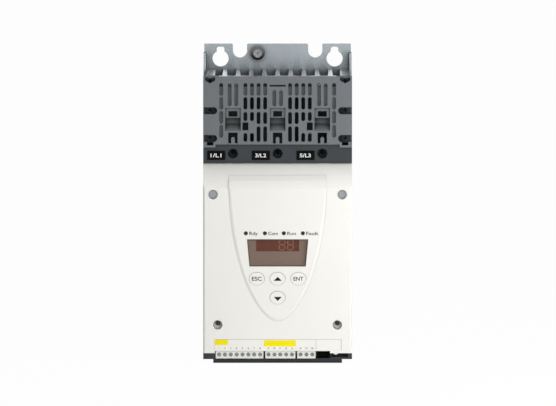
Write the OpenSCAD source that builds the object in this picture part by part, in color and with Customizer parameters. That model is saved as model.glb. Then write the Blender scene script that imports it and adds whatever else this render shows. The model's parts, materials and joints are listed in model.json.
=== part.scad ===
// Panel-mounted soft starter for a three-phase motor.
// X runs across the front, Y runs from the front (negative) to the mounting plate, Z is up.
// The origin is at the bottom centre of the whole device. Depths "d" are counted back from the key faces.

/* [Overall] */
// Height from the base to the top edge of the mounting plate
overall_h = 265; // [262:1:285]
// Depth from the key faces to the back of the mounting plate
overall_d = 169; // [160:1:190]
// Width across the folded flanges of the mounting plate
overall_w = 130; // [128:1:140]
// How far the moulded body stays inside the plate's flanges, each side
body_inset = 0.5; // [0.2:0.1:1.5]
// Wall of the dark housing
housing_wall = 2.5; // [2:0.1:3]
// Gap between pieces that slide into each other
fit_gap = 0.2; // [0.1:0.05:0.3]

/* [Mounting plate] */
// Sheet thickness
plate_t = 2; // [1.5:0.1:2.5]
// Plate showing above and below the heat sink
plate_margin = 21.9; // [20:0.1:24]
// How far the flat ears at both ends are narrower, each side
ear_inset = 0.6; // [0:0.1:3]
// Height of the ears that carry no flange
ear_h = 7.6; // [7:0.1:10]
// Depth of the folded side flanges
flange_d = 14; // [10:0.5:20]
// Outside radius of the folds
fold_r = 3; // [2.6:0.1:4]
// Distance between the fixing holes across
fixing_w = 100; // [94:1:104]
// Bottom edge of the plate to the lower fixing holes
fixing_foot = 8.9; // [7:0.1:12]
// Width of the bolt slots and diameter of the lower holes
bolt_hole = 6.6; // [5.5:0.1:7]
// Diameter of the keyhole's entry
keyhole_entry = 14; // [12:0.2:15]
// Top edge of the plate to the bolt seat of a keyhole
keyhole_drop = 6.1; // [5.5:0.1:7]
// Bolt seat to the centre of the keyhole's entry
keyhole_travel = 7; // [6:0.1:7.2]
// Width of the two open notches in the top edge
notch_w = 12.2; // [10:0.2:13]
// Depth of the notches
notch_h = 12.2; // [10:0.2:14]
// Distance between the notches
notch_pitch = 66; // [60:1:72]
// Earth screw, sideways from the centre
earth_x = -17.5; // [-22:0.5:-15]
// Earth screw, down from the top edge
earth_drop = 8.2; // [7.5:0.1:10]

/* [Heat sink] */
// Thickness of the base that carries the power modules
sink_base_t = 8; // [6:0.5:10]
// Distance between fins
fin_pitch = 11.5; // [10:0.5:13]
// Fin thickness at the base
fin_root = 4.4; // [3.6:0.1:5]
// Fin thickness at the tip
fin_tip = 2.8; // [2:0.1:3.4]
// Width of the two end columns that take the plate screws
column_w = 8; // [7:0.5:9]

/* [Terminal cover] */
// How far the ventilated cover stands above the heat sink
cover_rise = 5; // [3:0.2:6]
// Height of the ventilated cover
terminal_cover_h = 59.2; // [58:0.2:61]
// Wall of the ventilated cover
terminal_wall = 3; // [2.6:0.1:3.4]
// Depth of its side returns
return_d = 14; // [12:0.5:16]
// Width of a ventilation slot
slot_w = 3.3; // [2.6:0.1:3.6]
// Distance between ventilation slots
slot_pitch = 5.7; // [5.2:0.1:6]
// Width of the finger pockets
pocket_w = 13.5; // [12:0.5:14.5]
// Depth of the finger pockets
pocket_d = 5.5; // [4.5:0.1:6.5]
// Height of the side screw recesses
recess_h = 6; // [6:0.1:7]
// Length of the side screw recesses
recess_l = 12.1; // [11:0.1:12.4]
// Depth of the side screw recesses
recess_d = 8; // [6:0.5:9]

/* [Marking band] */
// Height of the dark band under the ventilated cover
band_h = 16.4; // [15:0.2:18]
// How far the band sits behind the ventilated cover
band_setback = 1; // [0.6:0.1:1.6]
// Diameter of the screwdriver holes
access_hole = 8.7; // [8:0.1:10]
// Width of a marking tag
tag_w = 15.2; // [13:0.2:17]
// Height of a marking tag
tag_h = 7.7; // [6:0.1:9]
// Thickness of a marking tag
tag_t = 1.2; // [1:0.1:1.6]

/* [Front cover] */
// Wall of the pale front cover
cover_wall = 2.5; // [2.2:0.1:3]
// Depth of the front cover's side walls
cover_side_d = 38.8; // [34:0.2:42]
// Height of the sloping shoulder
shoulder_h = 21; // [18:0.5:24]
// Depth of the sloping shoulder
shoulder_d = 15.6; // [15:0.2:17]
// Angle through which the shoulder curves back, in degrees
shoulder_turn = 42; // [30:1:50]
// Radius of the cover's upright edges
edge_r = 2; // [1:0.2:2.2]
// Diameter of the screw wells
well_hole = 8.2; // [7.6:0.1:9]
// Depth of the two upper screw wells
upper_well_d = 6; // [5:0.5:8]
// Depth of the two lower screw wells
lower_well_d = 43; // [38:1:46]
// Side edge to the upper screws
upper_screw_inset = 8.6; // [8.2:0.1:9]
// Side edge to the lower screws
lower_screw_inset = 12.7; // [12:0.1:13.4]
// Height of the lower screws
lower_screw_z = 33.1; // [32:0.1:34.5]
// Shoulder crease down to the upper screws
upper_screw_drop = 5; // [4.5:0.5:8]

/* [Control panel] */
// How far the panel stands proud of the front cover
panel_raise = 0.7; // [0.4:0.1:1]
// How deep the panel seats in the front cover
panel_seat = 1.3; // [1:0.1:1.5]
// Width of the panel's sloping rim
panel_rim = 2.4; // [1:0.2:3]
// Ledge that the panel rests on
panel_ledge = 3; // [2:0.2:4]
// Half the width of the panel
panel_half_w = 42.4; // [40:0.2:44]
// Shoulder crease down to where the panel's sides start to close in
panel_mid_drop = 2.6; // [1:0.2:8]
// Bottom tip of the panel
panel_z = 36.3; // [35.1:0.2:37.5]
// Length of the panel that runs up the shoulder
panel_top_rise = 11.6; // [8:0.2:14]
// How far the keys stand proud of the panel
key_proud = 0.5; // [0.3:0.1:0.8]
// Width of a key
key_w = 13.1; // [12:0.1:14]
// Height of a key
key_h = 10.9; // [10:0.1:12]
// Distance between keys across
key_pitch = 18; // [17:0.2:20]
// Height of the upper key row
key_row_z = 73.4; // [72.5:0.1:74.5]
// Distance from the upper row to the lower key
key_drop = 16.5; // [15.5:0.1:17.5]
// Travel of a key
key_travel = 0.6; // [0.4:0.1:0.8]
// Width of the display window at its top
window_top_w = 53.2; // [50:0.2:56]
// Width of the display window at its bottom
window_bottom_w = 48.8; // [46:0.2:50]
// Height of the display window
window_h = 23.7; // [22:0.1:25]
// Bottom of the display window
window_z = 84; // [83.5:0.1:85]
// Diameter of a status light
light_dia = 3.2; // [2.6:0.1:3.6]
// Distance between status lights
light_pitch = 16.45; // [15:0.05:17]
// First status light, sideways from the centre
light_x = -27.5; // [-29:0.1:-26]
// Height of the status lights
light_z = 112.9; // [112.3:0.1:114.5]

/* [Base and control terminals] */
// Height of the dark base under the front cover
base_h = 8.5; // [8.1:0.1:9.5]
// Height of the two side ledges above the bottom
ledge_z = 3.3; // [2.8:0.1:3.7]
// Width of the base between the ledges
base_w = 111.6; // [110.6:0.2:114]
// How far the base sits behind the front cover's face
base_setback = 0.8; // [0.4:0.1:1.2]
// Height that the terminal blocks rest at
rest_z = 3.9; // [3.5:0.1:4.3]
// Height of a terminal block's nose
nose_h = 6.3; // [6:0.1:6.6]
// Height of a terminal block behind the front cover
block_h = 12.6; // [11:0.2:14]
// Distance between control terminals
terminal_pitch = 5.08; // [4.9:0.02:5.1]
// Gap between terminal blocks
block_gap = 1.7; // [1.2:0.1:1.8]
// Diameter of a control terminal screw
terminal_screw = 3.3; // [2.8:0.1:3.6]
// Width of the serial socket
socket_w = 11.4; // [11:0.1:11.6]

/* [Boards] */
// Front cover face to the control board
board_setback = 12; // [11.5:0.1:14]
// Thickness of a circuit board
board_t = 1.6; // [1.2:0.1:2]
// Space between the two boards
board_gap = 25; // [24:0.5:28]
// Gap between the power board and the screw pillars
power_board_gap = 5.4; // [2:0.1:8]
// Bottom of the power board
power_board_z = 54.5; // [53.5:0.5:55.5]
// Marking band down to the top of the power board
power_board_drop = 22; // [18:1:30]

/* [Power path] */
// Side wall to the middle of an outer phase
phase_edge = 23.3; // [22:0.1:24.5]
// Thickness of a busbar
strap_t = 2; // [1.5:0.1:3]
// Width of a busbar
strap_w = 12; // [10:0.5:12.5]
// Space from the power board to the busbars
strap_gap = 9.6; // [9:0.1:12]
// Depth of a thyristor module
module_d = 26; // [24:0.5:28]
// Width of a thyristor module
module_w = 22; // [20:0.5:22.5]
// Space between a thyristor module and the terminal shelf
module_drop = 1; // [0.5:0.5:4]
// Space between the pieces of one phase that stand above each other
stack_gap = 3; // [2:0.5:5]
// Height of a bypass relay
relay_h = 34; // [30:0.5:36]
// Width of a bypass relay
relay_w = 27; // [25:0.5:28]
// Height of a current transformer
transformer_h = 11; // [9:0.5:12]
// Height of a cable lug
lug_h = 12; // [11:0.2:12.4]
// Width of a cable lug
lug_w = 18; // [17:0.2:19]
// Wall of a cable lug
lug_wall = 2.5; // [2:0.1:3]
// Diameter of a lug's clamping screw
lug_screw = 7.8; // [7:0.1:8]

/* [Hidden] */
$fn = 48;

PALE = "#e9e9e4";
MID_GREY = "#777b7e";
DARK_GREY = "#4b4f52";
BLACK = "#1b1d1f";
STEEL = "#a2a7a9";
ALUMINIUM = "#c3c5c4";
COPPER = "#b9764a";
BOARD_GREEN = "#2d5a3c";

// Depth levels, counted back from the key faces
front_y = -overall_d / 2;
d_panel = key_proud;
d_face = d_panel + panel_raise;
panel_t = panel_raise + panel_seat;
d_board = d_face + board_setback;
d_power = d_board + board_t + board_gap;
d_strap = d_power + board_t + strap_gap;
d_module = d_strap + strap_t;
d_sink = d_module + module_d;
d_fin = d_sink + sink_base_t;
d_plate = overall_d - plate_t;
d_seam = d_face + cover_side_d;
d_base = d_face + base_setback;
shoulder_tuck = 2;
d_band = d_face + shoulder_d - shoulder_tuck;
d_terminal = d_band - band_setback;
d_joint = d_terminal + return_d;

// Heights
pillar_r = 4.5;
transformer_clear = 2;
z_sink0 = plate_margin;
z_sink1 = overall_h - plate_margin;
z_top = z_sink1 + cover_rise;
z_band1 = z_top - terminal_cover_h;
z_band0 = z_band1 - band_h;
z_crease = z_band0 - shoulder_h;
z_shelf = z_band0 + housing_wall;
z_module1 = z_band0 - module_drop;
z_transformer0 = lower_screw_z + pillar_r + transformer_clear;
z_relay0 = z_transformer0 + transformer_h + 2 * stack_gap;
z_relay1 = z_relay0 + relay_h;
z_module0 = z_relay1 + stack_gap;
z_keyhole = overall_h - keyhole_drop - keyhole_travel;

// Widths
body_w = overall_w - 2 * body_inset;
half_w = body_w / 2;
inner_half_w = half_w - housing_wall;
sink_gap = 0.5;
sink_half_w = overall_w / 2 - plate_t - sink_gap;
upper_screw_x = half_w - upper_screw_inset;
lower_screw_x = half_w - lower_screw_inset;
upper_screw_z = z_crease - upper_screw_drop;
phase_pitch = inner_half_w - phase_edge;
phase_x = [-phase_pitch, 0, phase_pitch];
SIDES = [-1, 1];

// Helpers that place a shape in the device's frame

module block(x0, x1, d0, d1, z0, z1) {
    translate([x0, front_y + d0, z0]) cube([x1 - x0, d1 - d0, z1 - z0]);
}

// Round bar or hole along the depth
module depth_bar(r, x, z, d0, d1) {
    translate([x, front_y + d0, z]) rotate([-90, 0, 0]) cylinder(r = r, h = d1 - d0);
}

// Outline in depth and height, carried across the width
module side_prism(x0, x1, points) {
    translate([x0, front_y, 0]) rotate([90, 0, 90]) linear_extrude(x1 - x0) polygon(points);
}

// Outline in width and height, carried back from d0 to d1
module front_prism(d0, d1) {
    translate([0, front_y + d1, 0]) rotate([90, 0, 0]) linear_extrude(d1 - d0) children();
}

// Outline in width and depth, carried up from z0 to z1
module plan_prism(z0, z1) {
    translate([0, front_y, z0]) linear_extrude(z1 - z0) children();
}

module rect(x0, x1, y0, y1) {
    translate([x0, y0]) square([x1 - x0, y1 - y0]);
}

// Upright slot with round ends
module slot(x, z0, z1, w) {
    rect(x - w / 2, x + w / 2, z0 + w / 2, z1 - w / 2);
    for (z = [z0 + w / 2, z1 - w / 2]) translate([x, z]) circle(w / 2);
}

// Rectangle with round corners
module soft_rect(x0, x1, y0, y1, r) {
    rect(x0 + r, x1 - r, y0, y1);
    rect(x0, x1, y0 + r, y1 - r);
    for (x = [x0 + r, x1 - r], y = [y0 + r, y1 - r]) translate([x, y]) circle(r);
}

module oval(x, z, w, h) {
    translate([x, z]) scale([w / 2, h / 2]) circle(1);
}

// Mounting plate: one folded sheet with keyholes, notches and lower fixing holes

plate_screw_inset = 20;
plate_screw_z = [z_sink0 + plate_screw_inset, z_sink1 - plate_screw_inset];
plate_screw_x = sink_half_w - column_w / 2;
plate_screw_r = 2;
plate_screw_head_r = plate_screw_r + plate_t;
notch_edge_r = 1.5;
keyhole_edge_r = 2;
earth_r = 2.5;
earth_z = overall_h - earth_drop;

module keyhole(x) {
    half = bolt_hole / 2;
    translate([x, z_keyhole]) circle(keyhole_entry / 2);
    soft_rect(x - half, x + half, z_keyhole, overall_h - keyhole_drop + half, keyhole_edge_r);
}

// Open notch with a round bottom and rounded edges at its mouth
module top_notch(x) {
    half = notch_w / 2;
    z_round = overall_h - notch_h + half;
    z_mouth = overall_h - notch_edge_r;
    rect(x - half, x + half, z_round, overall_h + 1);
    translate([x, z_round]) circle(half);
    difference() {
        rect(x - half - notch_edge_r, x + half + notch_edge_r, z_mouth, overall_h + 1);
        for (s = SIDES) translate([x + s * (half + notch_edge_r), z_mouth]) circle(notch_edge_r);
    }
}

module folded_channel() {
    half = overall_w / 2;
    d_edge = overall_d - flange_d;
    intersection() {
        difference() {
            soft_rect(-half, half, d_edge - fold_r, overall_d, fold_r);
            soft_rect(-half + plate_t, half - plate_t, d_edge - 2 * fold_r, d_plate, fold_r - plate_t);
        }
        rect(-half, half, d_edge, overall_d);
    }
}

module mounting_plate() color(STEEL) difference() {
    union() {
        plan_prism(ear_h, overall_h - ear_h) folded_channel();
        block(-(overall_w / 2 - ear_inset), (overall_w / 2 - ear_inset), d_plate, overall_d, 0, overall_h);
    }
    front_prism(d_plate - 1, overall_d + 1) {
        for (s = SIDES) {
            keyhole(s * fixing_w / 2);
            top_notch(s * notch_pitch / 2);
        }
    }
    for (s = SIDES) depth_bar(bolt_hole / 2, s * fixing_w / 2, fixing_foot, d_plate - 1, overall_d + 1);
    depth_bar(earth_r + fit_gap, earth_x, earth_z, d_plate - 1, overall_d + 1);
    for (s = SIDES, z = plate_screw_z)
        translate([s * plate_screw_x, front_y + d_plate, z]) rotate([-90, 0, 0])
            cylinder(r1 = plate_screw_r + fit_gap, r2 = plate_screw_head_r + fit_gap, h = plate_t);
}

plate_screw_l = 12;

module plate_screws() color(STEEL)
    for (s = SIDES, z = plate_screw_z) {
        depth_bar(plate_screw_r, s * plate_screw_x, z, d_plate - plate_screw_l, d_plate);
        translate([s * plate_screw_x, front_y + d_plate, z]) rotate([-90, 0, 0])
            cylinder(r1 = plate_screw_r, r2 = plate_screw_head_r, h = plate_t);
    }

earth_washer_t = 1.4;
earth_washer_r = 7.3;
earth_end = 0.3;
earth_head_h = 4;
earth_head_r = 6.3;
earth_crown_r = 3.6;
earth_crown_h = 2.4;
earth_cross_l = 2.6;
earth_cross_half = 0.7;
earth_cross_d = 2.2;

module earth_screw() color(STEEL) {
    d_head = d_plate - earth_washer_t - earth_head_h;
    d_rim = d_head + earth_crown_h;
    difference() {
        union() {
            translate([earth_x, front_y + d_head, earth_z]) rotate([-90, 0, 0])
                cylinder(r1 = earth_crown_r, r2 = earth_head_r, h = earth_crown_h);
            depth_bar(earth_head_r, earth_x, earth_z, d_rim, d_head + earth_head_h);
        }
        front_prism(d_head - 1, d_head + earth_cross_d) translate([earth_x, earth_z]) {
            rect(-earth_cross_l, earth_cross_l, -earth_cross_half, earth_cross_half);
            rect(-earth_cross_half, earth_cross_half, -earth_cross_l, earth_cross_l);
        }
    }
    depth_bar(earth_r, earth_x, earth_z, d_head + earth_head_h, overall_d - earth_end);
}

module earth_washer() color(STEEL) difference() {
    depth_bar(earth_washer_r, earth_x, earth_z, d_plate - earth_washer_t, d_plate);
    depth_bar(earth_r + fit_gap, earth_x, earth_z, d_plate - earth_washer_t - 1, d_plate + 1);
}

// Heat sink: extruded base with tapered fins that reach back to the plate

foot_screw_x = plate_screw_x;
foot_screw_drop = 40;
foot_screw_rise = 6;
foot_screw_z = [z_module0 - foot_screw_drop, z_band0 + foot_screw_rise];
foot_screw_r = 2;
foot_screw_l = 14;
stud_r = 2.2;
flange_h = 8;
module_screw_z = [z_module0 + flange_h / 2, z_module1 - flange_h / 2];

module fin(x) {
    polygon([[x - fin_root / 2, d_fin - 1], [x + fin_root / 2, d_fin - 1],
        [x + fin_tip / 2, d_plate], [x - fin_tip / 2, d_plate]]);
}

column_step = 1;

module sink_profile() {
    fins_each_side = floor((sink_half_w - column_w - fin_root) / fin_pitch);
    rect(-sink_half_w, sink_half_w, d_sink, d_fin);
    for (k = [-fins_each_side : fins_each_side]) fin(k * fin_pitch);
    // The end columns step in at the back, clear of the plate's folds
    x_in = sink_half_w - column_w;
    for (s = SIDES, step = [0, column_step]) {
        x_out = sink_half_w - step;
        rect(s > 0 ? x_in : -x_out, s > 0 ? x_out : -x_in, d_sink, d_plate - column_step + step);
    }
}

module heat_sink() color(ALUMINIUM) difference() {
    plan_prism(z_sink0, z_sink1) sink_profile();
    for (s = SIDES, z = plate_screw_z)
        depth_bar(plate_screw_r + fit_gap, s * plate_screw_x, z, d_plate - plate_screw_l - 1, d_plate + 1);
    for (s = SIDES, z = foot_screw_z)
        depth_bar(foot_screw_r + fit_gap, s * foot_screw_x, z, d_sink - 1, d_sink + foot_screw_l + 1);
    for (x = phase_x, z = module_screw_z)
        depth_bar(stud_r + fit_gap, x, z, d_sink - 1, d_fin - 1);
}

// Housing: open dark shell that carries the covers and seats on the heat sink

shelf_gap = 4;
shelf_d = d_strap - shelf_gap;
foot_t = 4;
foot_half = 4.8;
pillar_hole_r = 1.8;
pillar_hole_l = 16;
web_half = 1.5;
boss_half_h = 4.5;
boss_l = 14;
well_wall = 1.8;
well_floor_t = 2;
well_r = well_hole / 2;
d_upper_pillar = d_face + upper_well_d + well_floor_t;
d_lower_pillar = d_face + lower_well_d + well_floor_t;
lug_reach = 15;
lug_front = d_strap - lug_reach;
lug_clear = 0.5;
lug_back = d_module + lug_wall + lug_clear;
top_screw_drop = 4.1;
side_screw_drop = 29.8;
side_screw_rise = 5.3;
side_screw_z = [z_top - side_screw_drop, z_band1 + side_screw_rise];
top_screw_z = z_top - top_screw_drop;
side_screw_inset = 6;
side_screw_x = half_w - side_screw_inset;
side_screw_r = 1.7;
side_boss_wall = 1.5;
side_boss_in = recess_l + side_boss_wall;
tag_dx = -14.5;
tag_rise = 3.1;
tag_z = z_band0 + tag_rise;
access_z = z_shelf + lug_h / 2;
barrier_half = 1;
inner_wall_d = d_terminal + terminal_wall + 2 * fit_gap;
inner_wall_t = 2;
inner_window_drop = 17.6;
terminal_back_t = 1.8;
terminal_back_drop = 16;
inner_wall_half_w = half_w - side_boss_in - 2 * fit_gap;
inner_wall_drop = 4.5;
inner_wall_z1 = z_top - inner_wall_drop;
inner_notch_drop = 8.6;
socket_inset = 10.2;
socket_x0 = base_w / 2 - socket_inset - socket_w;
latch_gap = 0.9;
latch_edge = 3.6;
latch_h = 3.6;
latch_d = 7.5;
latch_wall = 0.6;
latch_x0 = socket_x0 + socket_w + latch_gap;
latch_x1 = half_w - latch_edge;
latch_z0 = base_h - latch_h;
tab_drop = 2.6;
tab_w = 10.7;

// Block from the inside point out through the side wall, on either side
module to_wall(s, x_in, d0, d1, z0, z1) {
    x_out = inner_half_w + 1;
    block(s > 0 ? x_in : -x_out, s > 0 ? x_out : -x_in, d0, d1, z0, z1);
}

module housing_side(s) {
    x0 = s > 0 ? inner_half_w : -half_w;
    side_prism(x0, x0 + housing_wall, [[d_base, ledge_z], [d_base, base_h - fit_gap],
        [d_seam, base_h - fit_gap], [d_seam, z_band0], [d_band, z_band0], [d_band, z_band1 - tab_drop],
        [d_joint, z_band1 - tab_drop], [d_joint, z_sink1], [d_sink, z_sink1], [d_sink, ledge_z]]);
}

module lug_outline(x) {
    difference() {
        rect(x - lug_w / 2, x + lug_w / 2, lug_front, lug_back);
        rect(x - lug_w / 2 + lug_wall, x + lug_w / 2 - lug_wall, lug_front + lug_wall, lug_back - lug_wall);
    }
}

base_side_t = 2;

module base_tray() {
    half = base_w / 2;
    t = housing_wall;
    front_prism(d_base, d_sink) {
        rect(-half, half, 0, t);
        for (s = SIDES) {
            x_in = half - base_side_t;
            rect(s > 0 ? x_in : -half, s > 0 ? half : -x_in, 0, ledge_z + t);
            rect(s > 0 ? x_in : -half_w, s > 0 ? half_w : -x_in, ledge_z, ledge_z + t);
        }
    }
    block(-half, half, d_base, d_base + t, 0, rest_z);
    block(-half, half, d_board - 1, d_board + board_t, 0, rest_z);
    block(-half_w, -half + t - 1, d_base, d_base + t, ledge_z, base_h - fit_gap);
    block(latch_x0 - latch_wall, half_w, d_base, d_base + latch_d + t, ledge_z, base_h - fit_gap);
    for (x = phase_x)
        block(x - lug_w / 2, x + lug_w / 2, lug_front, lug_back, 0, base_h);
}

module screw_pillar(s, x, z, d0) {
    depth_bar(pillar_r, s * x, z, d0, d_sink);
    to_wall(s, x, max(d0, d_seam + 1), d_sink, z - web_half, z + web_half);
}

// Divider behind the ventilated cover, with windows for the cables' clamping screws and the air
module inner_wall() {
    d0 = inner_wall_d - 1;
    d1 = inner_wall_d + inner_wall_t + 1;
    clear_w = pocket_w / 2 + pocket_wall + 2 * fit_gap;
    difference() {
        block(-inner_wall_half_w, inner_wall_half_w, inner_wall_d, inner_wall_d + inner_wall_t,
            z_shelf - 1, inner_wall_z1);
        for (s = SIDES) {
            block(s * phase_pitch / 2 - 2 * slot_pitch, s * phase_pitch / 2 + 2 * slot_pitch, d0, d1,
                z_band1, z_top - inner_window_drop);
            block(s * phase_pitch - slot_pitch, s * phase_pitch + slot_pitch, d0, d1,
                z_top - inner_notch_drop, z_top);
        }
        for (x = phase_x)
            block(x - clear_w, x + clear_w, d0, d1,
                z_shelf + 1, z_top - pocket_top + pocket_wall + 2 * fit_gap);
    }
}

// Dark wall that closes the line terminals off from the heat sink
module terminal_back() {
    block(-inner_half_w - 1, inner_half_w + 1, d_sink - terminal_back_t, d_sink,
        z_shelf - 1, z_top - terminal_back_drop);
}

module housing() color(DARK_GREY) difference() {
    union() {
        for (s = SIDES) {
            housing_side(s);
            screw_pillar(s, upper_screw_x, upper_screw_z, d_upper_pillar);
            screw_pillar(s, lower_screw_x, lower_screw_z, d_lower_pillar);
            for (z = side_screw_z)
                to_wall(s, half_w - side_boss_in, d_joint, d_joint + boss_l, z - boss_half_h, z + boss_half_h);
            to_wall(s, half_w - side_boss_in, d_joint, d_joint + boss_l,
                top_screw_z - 2 * boss_half_h, top_screw_z + side_screw_r + 1);
            for (z = foot_screw_z)
                to_wall(s, foot_screw_x - foot_half, d_sink - foot_t, d_sink, z - foot_half, z + foot_half);
            block(s * phase_pitch / 2 - barrier_half, s * phase_pitch / 2 + barrier_half,
                d_terminal + terminal_wall + fit_gap, d_sink, z_shelf - 1, inner_wall_z1);
        }
        base_tray();
        inner_wall();
        terminal_back();
        block(-half_w, half_w, d_band, d_band + housing_wall, z_band0, z_band1 - fit_gap);
        block(-half_w, half_w, d_band, shelf_d, z_band0, z_shelf);
    }
    // Seats for the ventilated cover's lower corner tabs
    for (s = SIDES)
        block(s > 0 ? half_w - tab_w - fit_gap : -half_w - 1, s > 0 ? half_w + 1 : -half_w + tab_w + fit_gap,
            d_band - 1, d_band + housing_wall + 1, z_band1 - tab_drop - fit_gap, z_band1);
    for (x = phase_x) {
        depth_bar(access_hole / 2, x, access_z, d_band - 1, d_band + housing_wall + 1);
        block(x + tag_dx - tag_w / 2 - fit_gap, x + tag_dx + tag_w / 2 + fit_gap,
            d_band - 1, d_band + tag_t / 2, tag_z - fit_gap, tag_z + tag_h + fit_gap);
        block(x - lug_w / 2 + lug_wall, x + lug_w / 2 - lug_wall, lug_front + lug_wall, lug_back - lug_wall,
            -1, base_h + 1);
    }
    for (s = SIDES) {
        depth_bar(pillar_hole_r, s * upper_screw_x, upper_screw_z,
            d_upper_pillar - 1, d_upper_pillar + pillar_hole_l);
        depth_bar(pillar_hole_r, s * lower_screw_x, lower_screw_z,
            d_lower_pillar - 1, d_lower_pillar + pillar_hole_l);
        for (z = concat(side_screw_z, top_screw_z))
            depth_bar(side_screw_r, s * side_screw_x, z, d_joint - 1, d_joint + boss_l - 2);
        for (z = foot_screw_z)
            depth_bar(foot_screw_r + fit_gap, s * foot_screw_x, z, d_sink - foot_t - 1, d_sink + 1);
    }
    block(latch_x0, latch_x1, d_base - 1, d_base + latch_d, latch_z0, base_h + 1);
}

module marking_tags() color(BLACK)
    for (x = phase_x)
        block(x + tag_dx - tag_w / 2, x + tag_dx + tag_w / 2, d_band - tag_t / 2, d_band + tag_t / 2,
            tag_z, tag_z + tag_h);

foot_head_h = 2.6;
foot_head_r = 3.3;

module housing_screws() color(STEEL)
    for (s = SIDES, z = foot_screw_z) {
        depth_bar(foot_head_r, s * foot_screw_x, z, d_sink - foot_t - foot_head_h, d_sink - foot_t);
        depth_bar(foot_screw_r, s * foot_screw_x, z, d_sink - foot_t - 0.1, d_sink + foot_screw_l);
    }

// Ventilated terminal cover: slotted front, side returns, finger pockets and screw recesses

vent_top = 5.8;
vent_pitch = 12.15;
vent_h = 10.8;
tall_vent_h = 19.9;
centre_vent_drop = 12;
low_vent_top = 30.9;
low_vent_h = 10.5;
low_vent_short = 7.9;
foot_vent_z = z_band1 + 2.3;
foot_vent_h = 13.5;
foot_vent_short = 7.7;
square_hole_w = 5.1;
square_hole_top = 40;
square_hole_h = 6.8;
slit_w = 13.8;
slit_top = 7.3;
slit_h = 1.5;
column_dx = 10.2;
pocket_top = 27.4;
pocket_step = 36;
pocket_ramp = 41.2;
pocket_foot = 47.5;
pocket_lip = 1.2;
pocket_wall = 1.5;
window_drop = 30.2;
pocket_window_h = 5;
pocket_window_w = 7.7;
arch_foot = z_band1 + 1;
arch_h = 9.4;
arch_w = 8.1;
arch_tongue_r = 1.6;
arch_tongue_h = 4;
corner_notch_w = 9;
corner_notch_h = 5.2;
corner_notch_z = z_top - corner_notch_h / 2;
side_head_r = 2.8;
side_head_h = 2.4;

// Slot that hangs from a distance below the top edge
module hung_slot(x, drop, h) {
    slot(x, z_top - drop - h, z_top - drop, slot_w);
}

module middle_rect(x, w, z0, h) {
    rect(x - w / 2, x + w / 2, z0, z0 + h);
}

// Slots between two phases, with the shorter ones on the outer side
module vent_group(s) {
    for (k = [-2 : 1]) {
        x = s * (phase_pitch / 2 + (k + 0.5) * slot_pitch);
        outer = k >= 0;
        for (row = [0, 1]) hung_slot(x, vent_top + row * vent_pitch, vent_h);
        hung_slot(x, low_vent_top, outer ? low_vent_short : low_vent_h);
        slot(x, foot_vent_z, foot_vent_z + (outer ? foot_vent_short : foot_vent_h), slot_w);
    }
    middle_rect(s * (phase_pitch / 2 + 1.5 * slot_pitch), square_hole_w,
        z_top - square_hole_top - square_hole_h, square_hole_h);
}

module arch_opening(x) {
    difference() {
        middle_rect(x, arch_w, arch_foot, arch_h);
        middle_rect(x, 2 * arch_tongue_r, arch_foot - 1, arch_tongue_h + 1);
        translate([x, arch_foot + arch_tongue_h]) circle(arch_tongue_r);
    }
}

module vent_pattern() {
    for (s = SIDES) {
        vent_group(s);
        for (row = [0 : 3]) hung_slot(s * (phase_pitch + column_dx), vent_top + row * vent_pitch, vent_h);
        for (k = SIDES) hung_slot(s * phase_pitch + k * slot_pitch / 2, vent_top, tall_vent_h);
        hung_slot(s * slot_pitch / 2, centre_vent_drop, tall_vent_h + vent_top - centre_vent_drop);
    }
    middle_rect(0, slit_w, z_top - slit_top - slit_h, slit_h);
    for (x = phase_x) {
        middle_rect(x, pocket_window_w, z_top - window_drop - pocket_window_h, pocket_window_h);
        arch_opening(x);
    }
}

module finger_pocket(x) {
    d = d_terminal;
    side_prism(x - pocket_w / 2, x + pocket_w / 2, [[d - 1, z_top - pocket_foot], [d, z_top - pocket_foot],
        [d + pocket_d, z_top - pocket_ramp], [d + pocket_d, z_top - pocket_step],
        [d + pocket_lip, z_top - pocket_step], [d + pocket_lip, z_top - pocket_top],
        [d - 1, z_top - pocket_top]]);
}

module screw_recess(s, z) {
    x_round = half_w - recess_l + recess_h / 2;
    rect(s > 0 ? x_round : -half_w - 1, s > 0 ? half_w + 1 : -x_round, z - recess_h / 2, z + recess_h / 2);
    translate([s * x_round, z]) circle(recess_h / 2);
}

module cover_boss(s, z0, z1) {
    x_in = half_w - side_boss_in;
    block(s > 0 ? x_in : -half_w, s > 0 ? half_w : -x_in, d_terminal, d_joint, z0, z1);
}

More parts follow.
